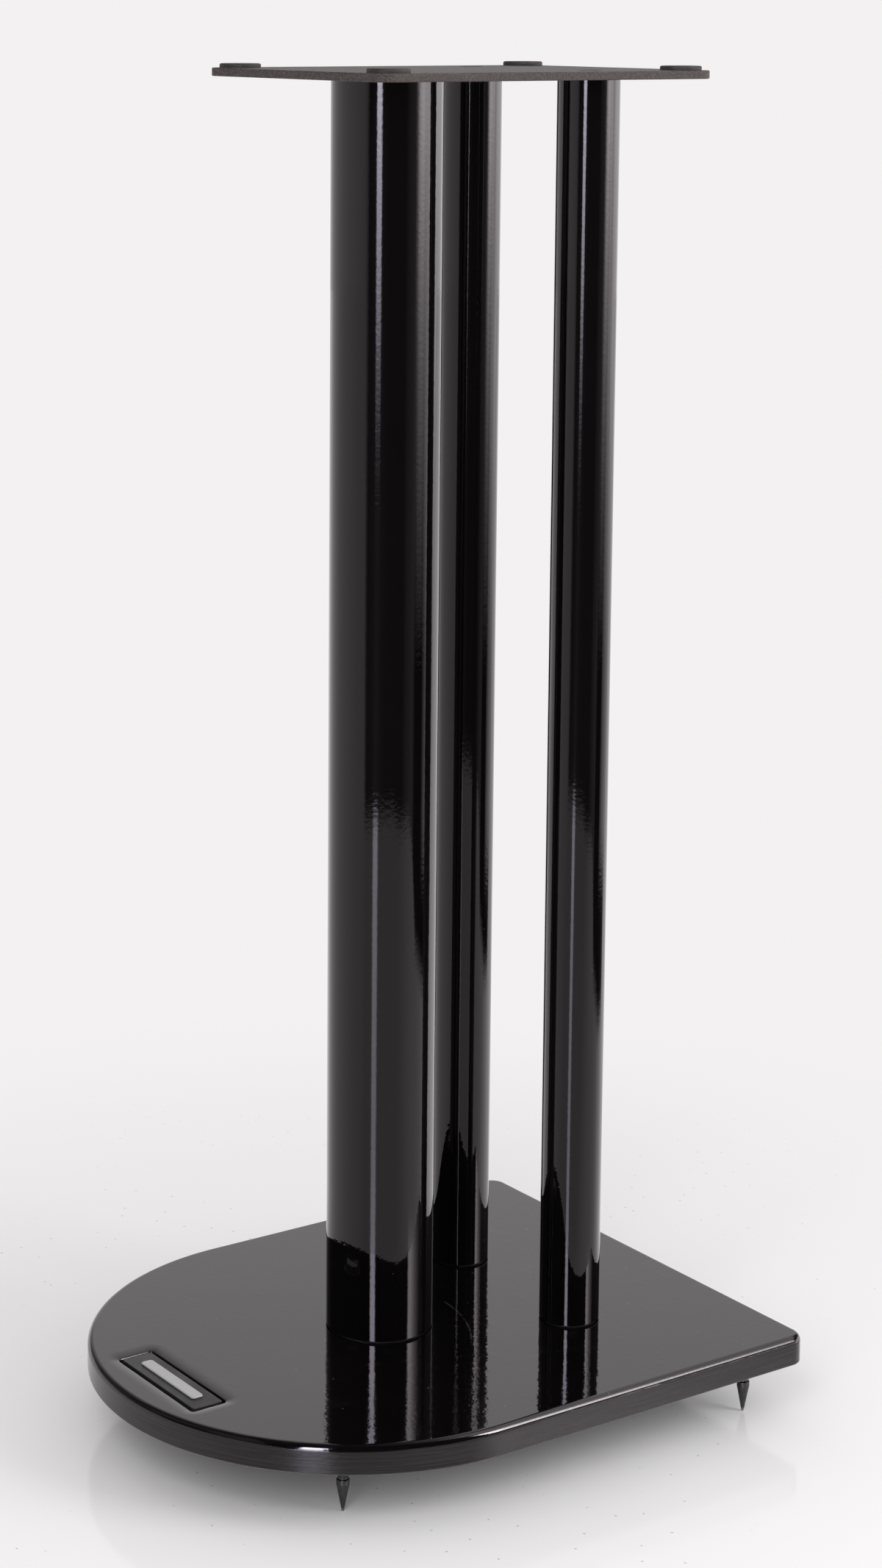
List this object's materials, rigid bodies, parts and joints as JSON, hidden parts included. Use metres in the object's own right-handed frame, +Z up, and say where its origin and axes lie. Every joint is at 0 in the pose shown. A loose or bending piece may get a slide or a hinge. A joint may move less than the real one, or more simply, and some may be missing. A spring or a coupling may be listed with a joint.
{
  "type": "speaker stand",
  "caption": "Floor-standing steel speaker stand: half-round pressed base on levelling spikes, a thick front column, thin rear columns and a flat top plate with corner pads.",
  "frame": {"origin": "centre of the bounding box on the floor plane, under the spike tips", "axes": "+Z up; -Y is the front, the half-round end of the base with the badge; +X is the right-hand side seen from the front"},
  "size_m": [0.247, 0.302, 0.6341],
  "materials": {
    "gloss_black": "gloss black powder coat with faint orange peel",
    "satin_black": "satin black paint",
    "textured_black": "fine-textured black powder coat",
    "plain_steel": "machined",
    "zinc": "zinc plated",
    "black_oxide": "dark plated",
    "black_rubber": "matt",
    "badge_grey": "satin",
    "badge_light": "satin"
  },
  "bodies": {
    "stand": {"base_shell": "gloss_black", "base_stiffener": "satin_black", "badge_plate": "badge_grey", "badge_bar": "badge_light", "top_plate": "textured_black", "front_column": "gloss_black", "front_foot_plug": "plain_steel", "front_head_plug": "plain_steel", "front_foot_gasket": "black_rubber", "front_base_bolt": "zinc", "front_washer": "zinc", "front_top_bolt": "black_oxide", "rear_left_column": "gloss_black", "rear_left_foot_plug": "plain_steel", "rear_left_head_plug": "plain_steel", "rear_left_foot_gasket": "black_rubber", "rear_left_base_bolt": "zinc", "rear_left_washer": "zinc", "rear_left_top_bolt": "black_oxide", "rear_right_column": "gloss_black", "rear_right_foot_plug": "plain_steel", "rear_right_head_plug": "plain_steel", "rear_right_foot_gasket": "black_rubber", "rear_right_base_bolt": "zinc", "rear_right_washer": "zinc", "rear_right_top_bolt": "black_oxide", "front_left_pad": "black_rubber", "front_left_spike_boss": "satin_black", "front_right_pad": "black_rubber", "front_right_spike_boss": "satin_black", "rear_left_pad": "black_rubber", "rear_left_spike_boss": "satin_black", "rear_right_pad": "black_rubber", "rear_right_spike_boss": "satin_black"},
    "front_left_spike": {"front_left_spike": "black_oxide"},
    "front_left_lock_nut": {"front_left_lock_nut": "black_oxide"},
    "front_right_spike": {"front_right_spike": "black_oxide"},
    "front_right_lock_nut": {"front_right_lock_nut": "black_oxide"},
    "rear_left_spike": {"rear_left_spike": "black_oxide"},
    "rear_left_lock_nut": {"rear_left_lock_nut": "black_oxide"},
    "rear_right_spike": {"rear_right_spike": "black_oxide"},
    "rear_right_lock_nut": {"rear_right_lock_nut": "black_oxide"}
  },
  "joints": [
    {"name": "front_left_spike_screw", "type": "slide", "parent": "stand", "child": "front_left_spike", "axis": [0, 0, 1], "range_m": [-0.004, 0.0035]},
    {"name": "front_left_lock_nut_turn", "type": "hinge", "parent": "stand", "child": "front_left_lock_nut", "pos_m": [-0.08161, -0.08615, 0.0265], "axis": [0, 0, 1], "range_deg": [-360, 0]},
    {"name": "front_right_spike_screw", "type": "slide", "parent": "stand", "child": "front_right_spike", "axis": [0, 0, 1], "range_m": [-0.004, 0.0035]},
    {"name": "front_right_lock_nut_turn", "type": "hinge", "parent": "stand", "child": "front_right_lock_nut", "pos_m": [0.08161, -0.08615, 0.0265], "axis": [0, 0, 1], "range_deg": [-360, 0]},
    {"name": "rear_left_spike_screw", "type": "slide", "parent": "stand", "child": "rear_left_spike", "axis": [0, 0, 1], "range_m": [-0.004, 0.0035]},
    {"name": "rear_left_lock_nut_turn", "type": "hinge", "parent": "stand", "child": "rear_left_lock_nut", "pos_m": [-0.1022, 0.1297, 0.0265], "axis": [0, 0, 1], "range_deg": [-360, 0]},
    {"name": "rear_right_spike_screw", "type": "slide", "parent": "stand", "child": "rear_right_spike", "axis": [0, 0, 1], "range_m": [-0.004, 0.0035]},
    {"name": "rear_right_lock_nut_turn", "type": "hinge", "parent": "stand", "child": "rear_right_lock_nut", "pos_m": [0.1022, 0.1297, 0.0265], "axis": [0, 0, 1], "range_deg": [-360, 0]}
  ]
}
